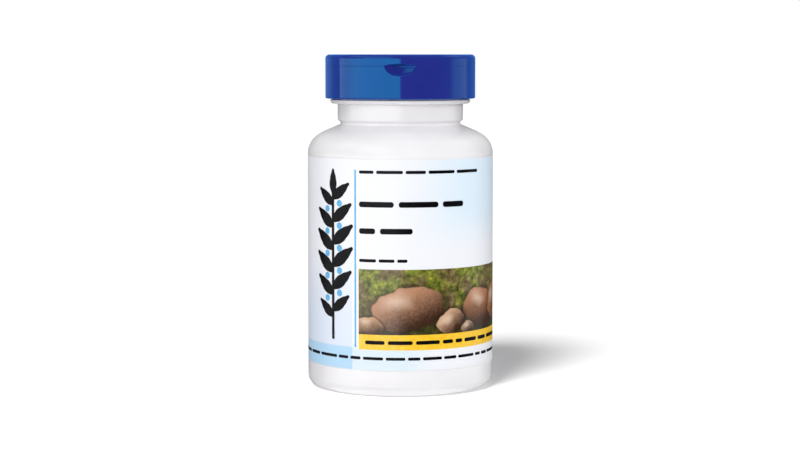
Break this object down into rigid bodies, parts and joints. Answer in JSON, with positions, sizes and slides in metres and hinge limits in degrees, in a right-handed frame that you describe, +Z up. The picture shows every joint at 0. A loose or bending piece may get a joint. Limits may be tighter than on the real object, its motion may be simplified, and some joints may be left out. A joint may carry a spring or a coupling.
{
  "type": "flip-top capsule bottle",
  "caption": "White plastic capsule bottle with a wrap-round label and a blue screw-on closure whose hinged lid flips up over a round dispensing opening.",
  "frame": {"origin": "centre of the ring that the bottle stands on, at the bottom of the bounding box", "axes": "+Z up along the bottle's axis, -Y to the front with the thumb scoop and the label's main panel, +Y to the lid's hinge, +X to the right as seen from the front"},
  "size_m": [0.062, 0.062, 0.1105],
  "materials": {
    "white_pet": "glossy blow-moulded white plastic",
    "label_film": "printed film with a satin varnish",
    "blue_polypropylene": "smooth injection-moulded plastic"
  },
  "bodies": {
    "bottle": {"bottle": "white_pet", "label": "label_film"},
    "closure_rise": {"closure_plug_seal": "blue_polypropylene"},
    "closure": {"closure_collar": "blue_polypropylene", "hinge_web": "blue_polypropylene"},
    "lid": {"lid": "blue_polypropylene"}
  },
  "joints": [
    {"name": "closure_lift", "type": "slide", "parent": "bottle", "child": "closure_rise", "axis": [0, 0, 1], "range_m": [0, 0.0053]},
    {"name": "closure_turn", "type": "hinge", "parent": "closure_rise", "child": "closure", "pos_m": [0, 0, 0.0959], "axis": [0, 0, 1], "range_deg": [0, 450]},
    {"name": "lid_hinge", "type": "hinge", "parent": "closure", "child": "lid", "pos_m": [0, 0.0244, 0.1067], "axis": [-1, 0, 0], "range_deg": [0, 150], "deforming": ["hinge_web"]}
  ],
  "couplings": [
    {"joint": "closure_lift", "follows": "closure_turn", "m_per_rad": 0.0006737}
  ]
}
